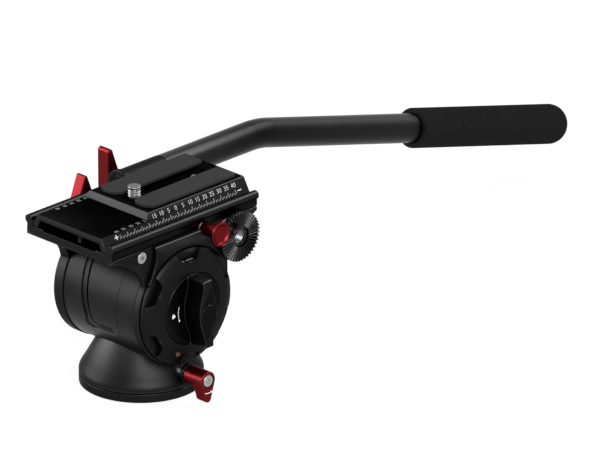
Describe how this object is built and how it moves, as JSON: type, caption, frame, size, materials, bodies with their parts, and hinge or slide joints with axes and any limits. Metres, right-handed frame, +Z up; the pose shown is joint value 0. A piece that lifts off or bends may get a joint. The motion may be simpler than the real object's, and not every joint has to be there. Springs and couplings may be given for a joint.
{
  "type": "fluid video head",
  "caption": "Compact fluid video head with a round base, tilting drum, sliding camera plate, red lock levers and a bent pan bar with a foam grip.",
  "frame": {"origin": "centre of the round base's underside, where the tripod's screw enters", "axes": "+Z up along the pan axis, +Y back along the pan bar to the operator, +X to the side with the tilt knob and the scale"},
  "size_m": [0.1058, 0.3768, 0.1012],
  "materials": {
    "black_metal": "satin black anodised aluminium",
    "red_metal": "gloss red anodised aluminium",
    "steel": "turned steel",
    "brass": "turned bronze",
    "rubber": "matt",
    "plastic": "fine moulded texture",
    "foam": "closed cell foam"
  },
  "bodies": {
    "base": {"base_plate": "black_metal", "tripod_thread_bush": "steel", "pan_shaft": "steel", "pan_washer": "steel", "pan_nut": "steel"},
    "pan": {"pan_housing": "black_metal", "base_seal_ring": "rubber", "pan_bearing": "brass", "pan_drag_ring": "plastic", "pan_brake_shoe": "brass", "drum_cover_near": "black_metal", "drum_cover_far": "black_metal", "tilt_bearing_near": "brass", "tilt_bearing_far": "brass", "drag_plate_1": "black_metal", "drag_plate_2": "black_metal", "counterbalance_spring": "steel"},
    "tilt": {"tilt_axle": "steel", "spring_arbor": "black_metal", "drag_disc_1": "steel", "drag_disc_2": "steel", "drag_disc_3": "steel", "near_cheek": "black_metal", "far_cheek": "black_metal", "axle_cap": "plastic", "clamp_bed": "black_metal", "cheek_screw_near_front": "steel", "cheek_screw_near_rear": "steel", "cheek_screw_far_front": "steel", "cheek_screw_far_rear": "steel", "near_rosette": "black_metal", "far_rosette": "black_metal", "near_rosette_insert": "steel", "far_rosette_insert": "steel", "dial_hub": "plastic", "release_spring": "steel"},
    "pan_lock": {"pan_lock_lever": "red_metal", "pan_lock_spindle": "steel", "pan_lock_collar": "plastic", "pan_lock_screw": "steel"},
    "dial": {"drag_dial": "black_metal"},
    "tilt_knob": {"tilt_lock_knob": "plastic", "tilt_lock_stud": "steel"},
    "plate": {"sliding_plate": "black_metal", "near_pad": "rubber", "far_pad": "rubber"},
    "screw_carriage": {"screw_washer": "plastic"},
    "screw": {"camera_screw": "steel"},
    "pin": {"video_pin": "steel"},
    "plate_lock": {"plate_lock_lever": "red_metal", "plate_lock_spindle": "steel"},
    "jaw": {"clamp_jaw": "steel"},
    "button": {"release_button": "red_metal"},
    "catch": {"release_catch": "steel"},
    "bar": {"bar_holder": "black_metal", "bar_front_cap": "plastic", "pan_bar_tube": "black_metal", "grip": "foam"},
    "bar_lock": {"bar_lock_lever": "red_metal", "bar_lock_bolt": "steel"}
  },
  "joints": [
    {"name": "pan_turn", "type": "hinge", "parent": "base", "child": "pan", "pos_m": [0, 0, 0], "axis": [0, 0, 1], "continuous": true},
    {"name": "tilt", "type": "hinge", "parent": "pan", "child": "tilt", "pos_m": [0, 0, 0.0472], "axis": [1, 0, 0], "range_deg": [-75, 90]},
    {"name": "pan_lock_turn", "type": "hinge", "parent": "pan", "child": "pan_lock", "pos_m": [0, 0, 0.0125], "axis": [1, 0, 0], "range_deg": [0, 90]},
    {"name": "dial_turn", "type": "hinge", "parent": "tilt", "child": "dial", "pos_m": [0, 0, 0.0472], "axis": [1, 0, 0], "range_deg": [0, 300]},
    {"name": "tilt_knob_turn", "type": "hinge", "parent": "tilt", "child": "tilt_knob", "pos_m": [0, 0, 0.0472], "axis": [1, 0, 0], "range_deg": [0, 90]},
    {"name": "plate_slide", "type": "slide", "parent": "tilt", "child": "plate", "axis": [0, 1, 0], "range_m": [-0.04, 0.04]},
    {"name": "screw_slide", "type": "slide", "parent": "plate", "child": "screw_carriage", "axis": [0, 1, 0], "range_m": [0, 0.016]},
    {"name": "camera_screw_turn", "type": "hinge", "parent": "screw_carriage", "child": "screw", "pos_m": [0, -0.0037, 0.0962], "axis": [0, 0, 1], "continuous": true},
    {"name": "video_pin_slide", "type": "slide", "parent": "plate", "child": "pin", "axis": [0, 1, 0], "range_m": [-0.006, 0.002]},
    {"name": "plate_lock_turn", "type": "hinge", "parent": "tilt", "child": "plate_lock", "pos_m": [0, -0.0031, 0.0825], "axis": [1, 0, 0], "range_deg": [0, 90]},
    {"name": "jaw_slide", "type": "slide", "parent": "tilt", "child": "jaw", "axis": [-1, 0, 0], "range_m": [0, 0.0006]},
    {"name": "button_press", "type": "slide", "parent": "tilt", "child": "button", "axis": [-1, 0, 0], "range_m": [0, 0.0025], "stiffness_N_per_m": 400, "springref_m": -0.003, "deforming": ["release_spring"]},
    {"name": "catch_drop", "type": "slide", "parent": "tilt", "child": "catch", "axis": [0, 0, -1], "range_m": [0, 0.001]},
    {"name": "bar_angle", "type": "hinge", "parent": "tilt", "child": "bar", "pos_m": [0, 0.0339, 0.0735], "axis": [1, 0, 0], "range_deg": [-60, 60]},
    {"name": "bar_lock_turn", "type": "hinge", "parent": "bar", "child": "bar_lock", "pos_m": [0, 0.0339, 0.0735], "axis": [1, 0, 0], "range_deg": [0, 90]}
  ],
  "couplings": [
    {"joint": "jaw_slide", "follows": "plate_lock_turn", "m_per_rad": 0.00038},
    {"joint": "catch_drop", "follows": "button_press", "ratio": 0.4}
  ]
}
